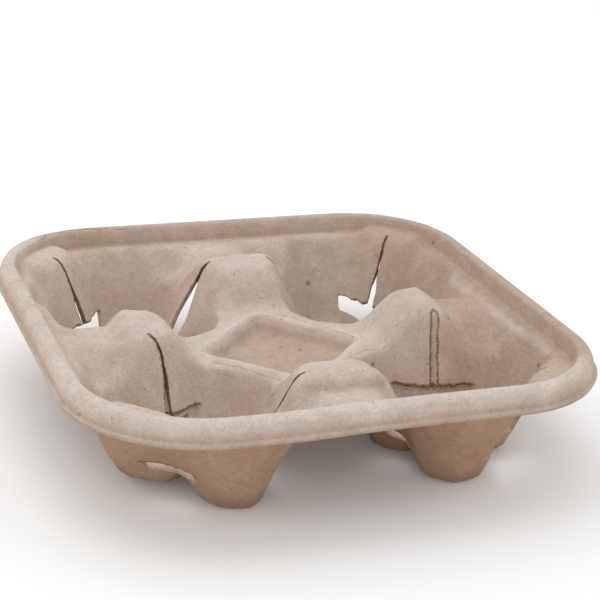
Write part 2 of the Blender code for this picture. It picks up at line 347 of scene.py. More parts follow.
@dataclass(frozen=True)
class Nudge:
    """A soft shove of the sheet: points near a place move, less with the square of their distance."""

    place: Point
    radius: float
    move: Point

    def push(self, points: Array) -> Array:
        """Points plus the move times exp(-(distance / radius)^2)."""
        away = np.linalg.norm(points - np.array(self.place), axis=1) / self.radius
        return points + np.exp(-(away**2))[:, None] * np.array(self.move)


@dataclass(frozen=True)
class RimProfile:
    """Section of the rolled rim, as insets from the tray's edge and heights, in metres."""

    corners: tuple[tuple[float, float], ...] = (
        (0.0104, 0.0420),
        (0.0092, 0.0420),
        (0.0082, 0.0500),
        (0.0026, 0.0500),
        (0.0012, 0.0428),
        (0.0000, 0.0423),
    )
    radii: tuple[float, ...] = (0.0, 0.0012, 0.0021, 0.0044, 0.0007, 0.0)
    steps: tuple[int, ...] = (0, 3, 5, 8, 2, 0)

    def section(self) -> Array:
        """Points along the section: each corner replaced by an arc that touches both its sides."""
        points = [np.array(self.corners[0])]
        for before, corner, after, radius, steps in zip(
            self.corners, self.corners[1:], self.corners[2:], self.radii[1:], self.steps[1:]
        ):
            into = np.subtract(corner, before) / np.linalg.norm(np.subtract(corner, before))
            out = np.subtract(after, corner) / np.linalg.norm(np.subtract(after, corner))
            turn = np.arccos(np.clip(into @ out, -1, 1))
            tangent = radius * np.tan(turn / 2)
            centre = np.array(corner) + (out - into) / np.linalg.norm(out - into) * radius / np.cos(turn / 2)
            start = np.array(corner) - into * tangent - centre
            side = into * np.sign((out - into) @ out)
            for share in np.linspace(0.0, turn, steps + 1):
                points.append(centre + start * np.cos(share) + side * radius * np.sin(share))
        points.append(np.array(self.corners[-1]))
        return np.array(points[1:])


@dataclass(frozen=True)
class PulpFinish:
    """Colours of the dry pulp as sRGB hex, with pale as painted highlight, brown as painted shade and torn
    also as painted shade, and how dull its face is.
    """

    name: str = "paper_pulp"
    light: str = "#C9BAAF"
    pink: str = "#C2ADA1"
    ochre: str = "#BAAA96"
    # pale and brown are the painted highlight and painted shade; torn is the torn-edge colour and painted
    # shade.
    pale: str = "#D2C8C1"
    brown: str = "#AA9482"
    under: str = "#A88A70"
    rust: str = "#A47A60"
    torn_and_shade: str = "#6E4A2C"
    speck: str = "#7C6250"
    roughness: float = 0.95
    specular: float = 0.2


def linear(code: str) -> tuple[float, float, float, float]:
    """Turn an sRGB hex colour into the linear values that a shader takes."""
    values = [int(code[start : start + 2], 16) / 255 for start in (1, 3, 5)]
    return tuple(v / 12.92 if v <= 0.04045 else ((v + 0.055) / 1.055) ** 2.4 for v in values) + (1.0,)


@dataclass
class Rings:
    """Rings of one quarter round its pocket's axis while the slits are cut, one row for each ring.

    Attributes:
        x: Places along x from the axis.
        y: Places along y from the axis.
        torn_and_shade: Share of the torn colour, which also paints shade into narrow slits.
        pushes: How far each point is pushed in the plan once its height is known.
        removed: Faces that are open, by their first ring and ray.
    """

    x: Array
    y: Array
    torn_and_shade: Array
    pushes: Array
    removed: Array


@dataclass
class Sheet:
    """The pressed sheet: four quarters of rays and rings about the pockets' axes, and the rim round them.

    Attributes:
        thickness: Thickness of the sheet, in metres as all lengths here.
        fan: Way from the axis up to which the rays keep their even fan beside a slit.
        fan_blend: Way over which they go from there to the slit's edges.
        sector: Rays for each of a pocket's three panels.
        lane: Rays on each side of a stem that bend to its edge.
        step_rays, step_fade: Rays over which a stem's step dies away, and its way down to the bowl's edge.
        slot_rays: Rays on each side of a stem that its bar reaches.
        floor_rings: Rings over the pocket's floor, with more of them across the bars, up the wall to
            the mouth, and from there to the rim or the middle lines.
        slot_foot: Height of the bars' lower edge.
        wall_foot: Height at which the wall's rings start where there is no bar.
        mouth_reach: Least way from the axis to the mouth's ring, a lobe more at the panels.
        join: Distance within which points of two quarters are one.
        points: Points of the upper face once it is built, with faces as rows of four indices, the
        share of the torn colour with the painted shade of narrow slits, and how dark or pale each
        point is painted as shade and light.
    """

    shape: TrayShape
    rim: RimProfile
    slits: tuple[Slit, ...]
    nudges: tuple[Nudge, ...]
    thickness: float = 0.002
    fan: float = 0.008
    fan_blend: float = 0.009
    sector: int = 60
    lane: int = 9
    step_rays: float = 5.0
    step_fade: float = 0.006
    slot_rays: int = 17
    floor_rings: int = 8
    slot_rings: int = 5
    wall_rings: int = 22
    deck_rings: int = 16
    slot_foot: float = 0.0099
    wall_foot: float = 0.0155
    mouth_reach: float = 0.0395
    mouth_lobe: float = 0.0050
    join: float = 1e-6
    points: Array = field(default_factory=lambda: np.zeros((0, 3)))
    faces: Array = field(default_factory=lambda: np.zeros((0, 4), int))
    torn_and_shade: Array = field(default_factory=lambda: np.zeros(0))
    shade: Array = field(default_factory=lambda: np.zeros(0))

    def turns(self) -> Array:
        """Angles of the rays in radians: an even fan, from the middle of one sector to its end."""
        return np.radians(np.arange(-45, 315, 120 / self.sector))

    def rim_path(self, inset: float, count: int) -> Array:
        """Plan points of a quarter of the rim by length: a side, a quarter of a circle, and a side."""
        straight = self.shape.half_size - self.shape.corner_radius
        radius = self.shape.corner_radius - inset
        total = 2 * straight + self.shape.corner_radius * np.pi / 2
        way = np.linspace(0.0, total, count)
        turn = np.clip((way - straight) / self.shape.corner_radius, 0.0, np.pi / 2)
        x = straight + radius * np.cos(turn) - np.maximum(way - total + straight, 0.0)
        y = straight + radius * np.sin(turn) - np.maximum(straight - way, 0.0)
        return np.column_stack([x, y])

    def border(self, turns: Array, outer: int) -> Array:
        """Outer end of each ray: the rim's foot for the first ones, the middle lines for the rest."""
        foot = self.rim_path(self.shape.rim_width, outer)
        direction = np.column_stack([np.cos(turns[outer:]), np.sin(turns[outer:])])
        reach = self.shape.axis / np.max(-direction, axis=1, keepdims=True)
        scale = (self.shape.half_size - self.shape.rim_width) / (2 * self.shape.axis)
        return np.vstack([foot, (self.shape.axis + direction * reach) * scale])

    def level(self, turns: Array, heights: Array) -> Array:
        """Furthest way out along each ray, in steps of 0.05 mm, at which the wall lies below a height."""
        ways = np.linspace(0.002, 0.036, 681)
        x = self.shape.axis + ways[None, :] * np.cos(turns)[:, None]
        y = self.shape.axis + ways[None, :] * np.sin(turns)[:, None]
        below = self.shape.pocket(x, y) <= heights[:, None]
        last = len(ways) - 1 - np.argmax(below[:, ::-1], axis=1)
        return ways[last]

    def deck_shares(self, mouth: Array, border: Array) -> Array:
        """Shares of each ray from mouth to border at which the rings lie, closer at the recess' edge.

        Half of the rings cross that edge, from 3 mm outside it to 5 mm inside it, and 30% lie before.
        Rays that lead outwards meet no recess, so their two places are put past the ray's end.
        """
        start = mouth.sum(axis=1)
        run = np.maximum(start - border.sum(axis=1), 1e-6)
        outer = (start - (self.shape.recess_half + 0.003) * np.sqrt(2)) / run
        inner = (start - (self.shape.recess_half - 0.005) * np.sqrt(2)) / run
        past = 9.0
        outer = np.where(border.sum(axis=1) > start, past, outer)
        inner = np.where(border.sum(axis=1) > start, past, inner)
        steps = np.arange(1, self.deck_rings + 1) / self.deck_rings
        near = np.clip(outer, 0.1, 0.40)
        far = np.clip(inner, 0.3, 0.80)
        return np.array([np.interp(steps, (0, 0.3, 0.8, 1), (0, a, b, 1)) for a, b in zip(near, far)]).T

    def relative(self, ray: Array, panel: Panel) -> Array:
        """Number of rays between each ray and the middle of a panel, from -90 to 89."""
        count = 3 * self.sector
        middle = (panel.value + 45) * self.sector // 120
        return (ray - middle + count // 2) % count - count // 2

    def slits_of(self, quarter: Quarter) -> list[Slit]:
        """Slits of one quarter."""
        return [slit for slit in self.slits if slit.quarter is quarter]

    def open_rings(self, turns: Array, quarter: Quarter) -> Rings:
        """Rings from the axis to the pocket's mouth: over the floor, across the slots and up the wall."""
        ray = np.arange(len(turns))
        levels = np.full(len(turns), self.wall_foot)
        for slit in self.slits_of(quarter):
            rel = self.relative(ray, slit.panel)
            fade = np.clip((self.slot_rays + 3 - np.abs(rel)) / 3, 0.0, 1.0)
            opening = np.where(rel < 0, slit.slot_right, slit.slot_left)
            rough = 0.0004 * waves(rel * 0.0008, rel * 0.0, 0.004, slit.seed + 7)
            levels += (self.slot_foot + opening + rough - levels) * fade
        low = self.level(turns, np.full(len(turns), self.slot_foot))
        high = np.maximum(self.level(turns, levels), low + 0.0003)
        lobe = 0.5 - 0.5 * np.cos(3 * (turns - np.pi / 4))
        mouth = self.mouth_reach + self.mouth_lobe * lobe
        radii = [low * share for share in np.linspace(0.1, 1, self.floor_rings + 1)[1:]]
        radii += [low + (high - low) * share for share in np.linspace(0, 1, self.slot_rings + 1)[1:]]
        radii += [high + (mouth - high) * share for share in np.linspace(0, 1, self.wall_rings + 1)[1:]]
        x = np.array(radii) * np.cos(turns)
        y = np.array(radii) * np.sin(turns)
        removed = np.zeros((len(radii) + self.deck_rings, len(turns)), bool)
        return Rings(x, y, np.zeros_like(x), np.zeros((*x.shape, 2)), removed)

    def cut(self, rings: Rings, slit: Slit) -> None:
        """Bend the lane of rays beside a slit to its torn edges, and open its stem and its bar.

        Between the stem's edge e and the lane's edge w, a ray lies e + (w - e) s across, with s its
        share of the rays of the lane. Towards the axis the rays go back to their even fan.

        Args:
            rings: The quarter's rings, changed in place.
            slit: The slit to cut.
        """
        turn = np.radians(slit.panel.value)
        rel = self.relative(np.arange(rings.x.shape[1]), slit.panel)
        ring = np.arange(len(rings.x))[:, None]
        low, high = self.floor_rings - 1, self.floor_rings + self.slot_rings - 1
        reach = rings.x * np.cos(turn) + rings.y * np.sin(turn)
        left, right = slit.edges(reach)
        lane = reach * np.tan(np.radians(self.lane * 120 / self.sector))
        share = (np.abs(rel) - 1) / (self.lane - 1)
        across = np.where(rel > 0, right + (lane - right) * share, left + (-lane - left) * share)
        across = np.where(rel == 0, (left + right) / 2, across)
        even = reach * np.tan(np.radians(rel * 120 / self.sector))
        across = even + (across - even) * ease((reach - self.fan) / self.fan_blend)
        inside = np.abs(rel) <= self.lane
        rings.x = np.where(inside, reach * np.cos(turn) - across * np.sin(turn), rings.x)
        rings.y = np.where(inside, reach * np.sin(turn) + across * np.cos(turn), rings.y)
        rings.removed[high : len(ring) - 1] |= (rel >= -1) & (rel < 1) & (slit.closed == 0)
        rings.removed[low : low + slit.rows] |= (rel >= slit.opened[0]) & (rel < slit.opened[1])
        pressed = slit.press * (ring > low) * (ring < high) * (np.abs(rel) < self.slot_rays)
        bent = -np.sign(rel) * np.exp(-((rel / self.step_rays) ** 2)) * slit.step / 2 * (ring >= high)
        bent = bent * ease((self.shape.bowl_radius - reach) / self.step_fade)
        sunk = slit.closed * (rel == 0) * (ring >= high)
        out = pressed + bent + sunk
        rings.pushes += out[..., None] * np.array([np.cos(turn), np.sin(turn)])
        rings.torn_and_shade = np.maximum(rings.torn_and_shade, 0.55 * (pressed > 0))
        self.tear_and_shade(rings, slit, rel, reach, right - left)

    def tear_and_shade(self, rings: Rings, slit: Slit, rel: Array, reach: Array, width: Array) -> None:
        """Mark a slit's torn edges and paint shade into it: its stem, less where it gapes by 1.5 to 4 mm, and
        its bar's sides.
        """
        ring = np.arange(len(rings.x))[:, None]
        low, high = self.floor_rings - 1, self.floor_rings + self.slot_rings - 1
        # Painted shade of the narrow slit in the torn colour: a faint line in a shut slit, less in a gaping
        # one.
        near = np.exp(-((np.maximum(np.abs(rel) - 1, 0) / 0.75) ** 2))
        near = np.where((rel == 0) & (slit.closed > 0), 0.3, near)
        gape = ease((width - 0.0015) / 0.0025) * (slit.closed == 0)
        head = ease((reach - slit.end + 0.006) / 0.003)
        colour = (1 - 0.42 * gape) * (slit.tear_and_shade + (1 - slit.tear_and_shade) * head) * slit.marked
        rings.torn_and_shade = np.where(ring > high, np.maximum(rings.torn_and_shade, near * colour), rings.torn_and_shade)
        sides = np.exp(-((ring - high) ** 2.0)) * (ring >= high) + 0.5 * np.exp(-(((ring - low) / 0.8) ** 2))
        along = (rel >= slit.opened[0] - 1) & (rel <= slit.opened[1] + 1) | (slit.press > 0)
        rings.torn_and_shade = np.maximum(rings.torn_and_shade, sides * (np.abs(rel) <= self.slot_rays) * along)

    def rim_rows(self, foot: Array) -> list[Array]:
        """Rows of points round a quarter of the rim, from its foot to its lower edge."""
        low, crest = self.rim.corners[0][1], self.shape.height
        rows = []
        for inset, height in self.rim.section():
            share = np.clip((height - low) / (crest - low), 0, 1)
            z = foot + (crest - foot) * share if inset > 0.003 else np.full(len(foot), height)
            rows.append(np.column_stack([self.rim_path(inset, len(foot)), z]))
        return rows

    def quarter(self, quarter: Quarter) -> tuple[Array, Array, Array]:
        """One quarter as points, four-sided faces and shares of the torn colour and painted slit shade, with
        the slits left open.

        Returns:
            Points of rings then rim rows, faces as rows of four indices, and a share per point.
        """
        turns = self.turns()
        count = len(turns)
        outer = count // 2 + 1
        rings = self.open_rings(turns, quarter)
        for slit in self.slits_of(quarter):
            self.cut(rings, slit)
        plan = np.stack([rings.x, rings.y], axis=-1) + self.shape.axis
        last, edge = plan[-1], self.border(turns, outer)
        shares = self.deck_shares(last, edge)[..., None]
        plan = np.concatenate([plan, last + shares * (edge - last)])
        heights = self.shape.face(plan[..., 0], plan[..., 1])
        grid = np.concatenate([plan, heights[..., None]], axis=-1)
        grid[: len(rings.pushes), :, :2] += rings.pushes
        # The hub is point 0, so the grid's points start at 1.
        index = np.arange(grid.shape[0] * count).reshape(grid.shape[0], count) + 1
        after = np.roll(index, -1, axis=1)
        quads = np.stack([index[:-1], index[1:], after[1:], after[:-1]], axis=-1)
        quads = quads[~rings.removed[: len(quads)]]
        fan = np.column_stack([np.zeros(count, int), index[0], after[0], np.zeros(count, int)])
        axis = np.full(1, self.shape.axis)
        hub = np.column_stack([axis, axis, self.shape.face(axis, axis)])
        rim = self.rim_rows(grid[-1, :outer, 2])
        first = 1 + grid.shape[0] * count
        rows = np.arange(len(rim) * outer).reshape(len(rim), outer) + first
        rows = np.vstack([index[-1:, :outer], rows])
        strips = np.stack([rows[:-1, :-1], rows[1:, :-1], rows[1:, 1:], rows[:-1, 1:]], -1)
        points = np.vstack([hub, grid.reshape(-1, 3), *rim])
        torn_and_shade = np.zeros(len(points))
        torn_and_shade[1 : 1 + rings.torn_and_shade.size] = rings.torn_and_shade.ravel()
        faces = np.vstack([quads, fan, strips.reshape(-1, 4)])
        if quarter.value[0] * quarter.value[1] < 0:
            faces = faces[:, ::-1]
        return points * np.array([*quarter.value, 1]), faces, torn_and_shade

    def build(self) -> None:
        """Join the quarters at the middle lines, shove and roughen the sheet, and drop unused points."""
        points, faces, torn_and_shade = [], [], []
        for quarter in Quarter:
            part, quads, share = self.quarter(quarter)
            faces.append(quads + sum(len(p) for p in points))
            points.append(part)
            torn_and_shade.append(share)
        points, faces, torn_and_shade = np.vstack(points), np.vstack(faces), np.concatenate(torn_and_shade)
        places = np.round(points / self.join).astype(int)
        _, first, same = np.unique(places, axis=0, return_index=True, return_inverse=True)
        points, torn_and_shade, faces = points[first], torn_and_shade[first], same.reshape(-1)[faces]
        used, faces = np.unique(faces, return_inverse=True)
        self.points, self.torn_and_shade, self.faces = points[used], torn_and_shade[used], faces.reshape(-1, 4)
        x, y, z = self.points.T
        middle = self.shape.half_size - self.shape.corner_radius
        away = np.hypot(np.maximum(np.abs(x) - middle, 0.0), np.maximum(np.abs(y) - middle, 0.0))
        inside = ease((self.shape.corner_radius - self.shape.rim_width - away) / 0.008)
        lifted = ease((z - 0.0028) / 0.004)
        # The deck is uneven by about 0.3 mm over 30 mm, and the soles stay level.
        uneven = 0.00032 * waves(x, y, 0.030, 11) + 0.00012 * waves(x, y, 0.011, 12)
        # Painted light and shade for each point, before the sheet is shoved.
        self.shade = self.shape.shade(x, y, z)
        self.points[:, 2] += uneven * inside * lifted
        for nudge in self.nudges:
            self.points = nudge.push(self.points)
        self.points[:, 2] = np.minimum(self.points[:, 2], self.shape.height)

    def mesh(self) -> bpy.types.Mesh:
        """Give the sheet its thickness below the upper face and return the closed mesh."""
        data = bpy.data.meshes.new("pulp_tray")
        rows = [tuple(dict.fromkeys(row)) for row in self.faces.tolist()]
        data.from_pydata(self.points.tolist(), [], rows)
        for name, values in (("torn_and_shade", self.torn_and_shade), ("shade", self.shade)):
            attribute = data.attributes.new(name, "FLOAT", "POINT")
            attribute.data.foreach_set("value", values.astype(np.float32))
        carrier = bpy.data.objects.new("pulp_tray_sheet", data)
        bpy.context.scene.collection.objects.link(carrier)
        sheet = carrier.modifiers.new("sheet", "SOLIDIFY")
        sheet.thickness = self.thickness
        sheet.offset = -1.0
        sheet.use_quality_normals = True
        evaluated = carrier.evaluated_get(bpy.context.evaluated_depsgraph_get())
        closed = bpy.data.meshes.new_from_object(evaluated)
        closed.name = "pulp_tray"
        places = np.zeros(len(closed.vertices) * 3, np.float32)
        closed.vertices.foreach_get("co", places)
        places[2::3] = np.maximum(places[2::3], 0.0)
        closed.vertices.foreach_set("co", places)
        bpy.data.objects.remove(carrier)
        return closed


@dataclass
class Nodes:
    """A node tree of a material or a world, with one way to add a node and join it up."""

    owner: bpy.types.Material | bpy.types.World

    def add(self, kind: str, settings: dict | str = "", output: int | str = 0, **inputs) -> Socket:
        """Add a node.

        Args:
            kind: The node's type name.
            settings: Attributes of the node itself, or the name of its operation.
            output: Name or number of the output that is wanted.
            inputs: Values or sockets for its inputs, by name with underscores, or by number as _0.

        Returns:
            That output of the new node.
        """
        node = self.owner.node_tree.nodes.new(kind)
        if isinstance(settings, str):
            settings = {"operation": settings} if settings else {}
        for name, value in settings.items():
            setattr(node, name, value)
        for name, value in inputs.items():
            key = int(name[1:]) if name[1:].isdigit() else name.replace("_", " ")
            if isinstance(value, bpy.types.NodeSocket):
                self.owner.node_tree.links.new(value, node.inputs[key])
            else:
                node.inputs[key].default_value = value
        return node.outputs[output]


@dataclass(frozen=True)
class Stroke:
    """A crack, a line of painted shade or a painted highlight streak along a run of points, in metres: its
    width and how strong it is.
    """

    points: tuple[Point, ...]
    width: float
    share: float
    pale: bool = False


@dataclass(frozen=True)
class Pit:
    """A small round pit in the face: its place and its radius, in metres."""

    place: Point
    radius: float


@dataclass
class PulpTray:
    """The shown tray: the pressed sheet, its finish and its place in the frame."""

    sheet: Sheet
    finish: PulpFinish
    pits: tuple[Pit, ...]
    strokes: tuple[Stroke, ...]
    sharp_angle: float = 55.0

    def build(self) -> bpy.types.Object:
        """Build the sheet, mark its faces for the finish, dress it and tie it to the frame."""
        self.sheet.build()
        mesh = self.sheet.mesh()
        mesh.shade_smooth()
        mesh.set_sharp_from_angle(angle=np.radians(self.sharp_angle))
        tray = bpy.data.objects.new("pulp_tray", mesh)
        bpy.context.scene.collection.objects.link(tray)
        self.mark(mesh)
        mesh.materials.append(self.material())
        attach(tray, "root")
        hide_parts("cup_tray")
        LOG.info("pulp_tray: %d points, %d faces", len(mesh.vertices), len(mesh.polygons))
        return tray

    def mark(self, mesh: bpy.types.Mesh) -> None:
        """Write the share of each point on the underside, the face that lay on the mould's mesh, which is
        tinted darker.
        """
        rows = np.zeros(len(mesh.vertices), np.float32)
        rows[len(self.sheet.points) :] = 1.0
        under = mesh.attributes.new("under", "FLOAT", "POINT")
        under.data.foreach_set("value", rows)

    def material(self) -> bpy.types.Material:
        """Matt moulded paper pulp: tints that dried in blotches, painted light and shade, fibres, torn edges,
        marks and relief.
        """
        finish = self.finish
        material = bpy.data.materials.new(finish.name)
        material.use_nodes = True
        nodes = Nodes(material)
        place = nodes.add("ShaderNodeTexCoord", output="Object")
        bent = self.bent_place(nodes, place)
        # Fibres about 0.5 mm thick and 3 mm long in two directions, lighter and darker in turn.
        laid = []
        for scale, turn in (((300.0, 1500.0, 900.0), 0.4), ((1500.0, 300.0, 900.0), 0.3)):
            run = nodes.add("ShaderNodeMapping", Vector=bent, Scale=scale, Rotation=(0.0, 0.0, turn))
            laid.append(nodes.add(NOISE, Vector=run, Scale=1.0, Detail=3.0))
        fibres = nodes.add(MATH, "ADD", _0=laid[0], _1=laid[1])
        # Cloudy mottling 8 mm wide, as the fibres settled unevenly.
        cloud = nodes.add(NOISE, Vector=place, Scale=120.0, Detail=5.0, Roughness=0.6)
        tones = []
        for part, low, high, dark, light in ((fibres, 0.7, 1.3, 0.86, 1.12), (cloud, 0.3, 0.7, 0.90, 1.08)):
            ends = {"From_Min": low, "From_Max": high, "To_Min": dark, "To_Max": light}
            tones.append(nodes.add(RANGE, Value=part, **ends))
        tone = nodes.add(MATH, "MULTIPLY", _0=tones[0], _1=tones[1])
        colour = self.blotched_and_painted_colour(nodes, place)
        colour = nodes.add(VECTOR, "SCALE", _0=colour, _3=tone)
        pits, depth = self.pit_nodes(nodes, place)
        # Specks of darker fibre, about one in each 6 mm, under a millimetre across.
        speck = nodes.add("ShaderNodeTexVoronoi", Vector=bent, Scale=170.0, output="Distance")
        specks = nodes.add(RANGE, Value=speck, From_Min=0.05, From_Max=0.11, To_Min=0.45, To_Max=0.0)
        torn_and_shade = self.torn_and_shade_share(nodes, place)
        # The crack, the painted shade lines and the painted highlight streak wander by about 0.4 mm.
        wander = nodes.add(NOISE, Vector=place, Scale=220.0, Detail=2.0, output="Color")
        wander = nodes.add(VECTOR, "SUBTRACT", _0=wander, _1=(0.5, 0.5, 0.5))
        wander = nodes.add(VECTOR, "SCALE", _0=wander, _3=0.0025)
        drawn = nodes.add(VECTOR, "ADD", _0=place, _1=wander)
        crack_and_shade_lines = self.stroke_nodes(nodes, drawn, [s for s in self.strokes if not s.pale])
        highlight_streaks = self.stroke_nodes(nodes, drawn, [s for s in self.strokes if s.pale])
        # Specks, the torn colour with painted shade in narrow slits, a crack and painted shade lines, the
        # painted highlight streak, and painted shade in the pits.
        shares = (specks, torn_and_shade, crack_and_shade_lines, highlight_streaks, pits)
        tints = (finish.speck, finish.torn_and_shade, finish.torn_and_shade, finish.pale, finish.torn_and_shade)
        for share, tint in zip(shares, tints):
            colour = nodes.add(MIX, RGBA, _0=share, _6=colour, _7=linear(tint), output=2)
        # Relief of about 0.1 mm: lumps 8 mm wide, a felt of 1.4 mm, the fibres, and the pits below them.
        height = nodes.add(NOISE, Vector=place, Scale=700.0, Detail=4.0, Roughness=0.6)
        for part, size in ((cloud, 2.2), (fibres, 0.5), (depth, -5.0)):
            height = nodes.add(MATH, "MULTIPLY_ADD", _0=part, _1=size, _2=height)
        bump = nodes.add("ShaderNodeBump", Strength=0.55, Distance=0.00025, Height=height)
        shader = material.node_tree.nodes["Principled BSDF"]
        shader.inputs["Roughness"].default_value = finish.roughness
        shader.inputs["Specular IOR Level"].default_value = finish.specular
        material.node_tree.links.new(colour, shader.inputs["Base Color"])
        material.node_tree.links.new(bump, shader.inputs["Normal"])
        return material

    def bent_place(self, nodes: Nodes, place: Socket) -> Socket:
        """The place shoved by a coarse noise, so that fibres and specks don't lie in straight rows."""
        bend = nodes.add(NOISE, Vector=place, Scale=90.0, Detail=1.0, output="Color")
        return nodes.add(MIX, {"data_type": "VECTOR"}, _0=0.012, _4=place, _5=bend, output=1)

    def blotched_and_painted_colour(self, nodes: Nodes, place: Socket) -> Socket:
        """Colour without fibres: blotches of three tints, the darker underside, and the sheet's painted light
        and shade.
        """
        finish = self.finish
        # Blotches about 40 mm wide where the pulp dried pinkish, and 22 mm where it dried yellow.
        pink = nodes.add(NOISE, Vector=place, Scale=26.0, Detail=3.0, Roughness=0.55)
        apart = {"noise_dimensions": "4D"}
        ochre = nodes.add(NOISE, apart, Vector=place, W=3.0, Scale=44.0, Detail=4.0)
        pinks = nodes.add(RANGE, Value=pink, From_Min=0.42, From_Max=0.68, To_Max=0.75)
        ochres = nodes.add(RANGE, Value=ochre, From_Min=0.46, From_Max=0.72, To_Max=0.8)
        brown, rust = linear(finish.under), linear(finish.rust)
        below = nodes.add(MIX, RGBA, _0=pinks, _6=brown, _7=rust, output=2)
        colour = nodes.add(MIX, RGBA, _0=pinks, _6=linear(finish.light), _7=linear(finish.pink), output=2)
        colour = nodes.add(MIX, RGBA, _0=ochres, _6=colour, _7=linear(finish.ochre), output=2)
        # The underside, which lay on the mould's mesh, is tinted browner and darker.
        under = nodes.add("ShaderNodeAttribute", {"attribute_name": "under"}, output="Fac")
        under_share = nodes.add(MATH, "MULTIPLY", _0=under, _1=0.85)
        colour = nodes.add(MIX, RGBA, _0=under_share, _6=colour, _7=below, output=2)
        # Painted light and shade: tops and ridges painted pale as lit, and the recess, the pockets, the rim's
        # groove and its inner wall painted browner as shade.
        shade = nodes.add("ShaderNodeAttribute", {"attribute_name": "shade"}, output="Fac")
        dark = nodes.add(RANGE, Value=shade, From_Min=0.0, From_Max=1.0, To_Max=0.9)
        pale = nodes.add(RANGE, Value=shade, From_Min=0.0, From_Max=-1.0, To_Max=0.7)
        above = nodes.add(MATH, "SUBTRACT", _0=1.0, _1=under)
        pale = nodes.add(MATH, "MULTIPLY", _0=pale, _1=above)
        colour = nodes.add(MIX, RGBA, _0=dark, _6=colour, _7=linear(finish.brown), output=2)
        return nodes.add(MIX, RGBA, _0=pale, _6=colour, _7=linear(finish.pale), output=2)

    def torn_and_shade_share(self, nodes: Nodes, place: Socket) -> Socket:
        """Share of the torn colour, which also paints shade into narrow slits, with an edge that noise of
        about 1 mm makes ragged.
        """
        torn_and_shade = nodes.add("ShaderNodeAttribute", {"attribute_name": "torn_and_shade"}, output="Fac")
        ragged = nodes.add(NOISE, Vector=place, Scale=900.0, Detail=2.0)
        ragged = nodes.add(MATH, "MULTIPLY_ADD", _0=ragged, _1=0.9, _2=-0.45)
        torn_and_shade = nodes.add(MATH, "ADD", _0=torn_and_shade, _1=ragged)
        return nodes.add(RANGE, Value=torn_and_shade, From_Min=0.55, From_Max=0.95, To_Max=0.85)

    def stroke_nodes(self, nodes: Nodes, place: Socket, strokes: list[Stroke]) -> Socket:
        """Share of a line's colour: its strength at the line, falling off to nothing at its width.

        The distance to a stretch from A along d is |P - A - t d|, with t = (P - A) . d kept on the stretch.

        Args:
            nodes: The material's nodes.
            place: Socket of the place P.
            strokes: The lines, each drawn stretch by stretch.

        Returns:
            The socket of the share.
        """
        total = 0.0
        for stroke in strokes:
            for start, end in zip(stroke.points, stroke.points[1:]):
                run = np.subtract(end, start)
                length = float(np.linalg.norm(run))
                unit = tuple(float(value) for value in run / length)
                way = nodes.add(VECTOR, "SUBTRACT", _0=place, _1=start)
                along = nodes.add(VECTOR, "DOT_PRODUCT", _0=way, _1=unit, output="Value")
                kept = nodes.add("ShaderNodeClamp", Value=along, Min=0.0, Max=length)
                foot = nodes.add(VECTOR, "SCALE", _0=unit, _3=kept)
                away = nodes.add(VECTOR, "DISTANCE", _0=way, _1=foot, output="Value")
                ends = {"From_Min": stroke.width, "From_Max": 0.0, "To_Max": stroke.share}
                near = nodes.add(RANGE, SMOOTH, Value=away, **ends)
                total = nodes.add(MATH, "MAXIMUM", _0=total, _1=near)
        return total

    def pit_nodes(self, nodes: Nodes, place: Socket) -> tuple[Socket, Socket]:
        """Small pits at given places: a share of dark colour, painted shade in the pit, and of depth that
        falls off with distance.

        Returns:
            The socket of the colour's share and the socket of the depth.
        """
        total = 0.0
        for pit in self.pits:
            away = nodes.add(VECTOR, "DISTANCE", _0=place, _1=pit.place, output="Value")
            ends = {"From_Min": pit.radius, "From_Max": pit.radius * 0.3}
            near = nodes.add(RANGE, SMOOTH, Value=away, **ends)
            total = nodes.add(MATH, "MAXIMUM", _0=total, _1=near)
        # Painted shade in the pits, up to 0.55 of the dark colour.
        dark = nodes.add(MATH, "MULTIPLY", _0=total, _1=0.55)
        return dark, total


@dataclass(frozen=True)
class Lamp:
    """A soft square lamp that points at the tray."""

    name: str
    place: Point
    size: float
    power: float

    def build(self) -> bpy.types.Object:
        """Add the lamp, turned to the tray's middle."""
        data = bpy.data.lights.new(self.name, "AREA")
        data.size = self.size
        data.energy = self.power
        lamp = bpy.data.objects.new(self.name, data)
        bpy.context.scene.collection.objects.link(lamp)
        lamp.location = self.place
        lamp.rotation_euler = (-Vector(self.place)).to_track_quat("-Z", "Y").to_euler()
        return lamp


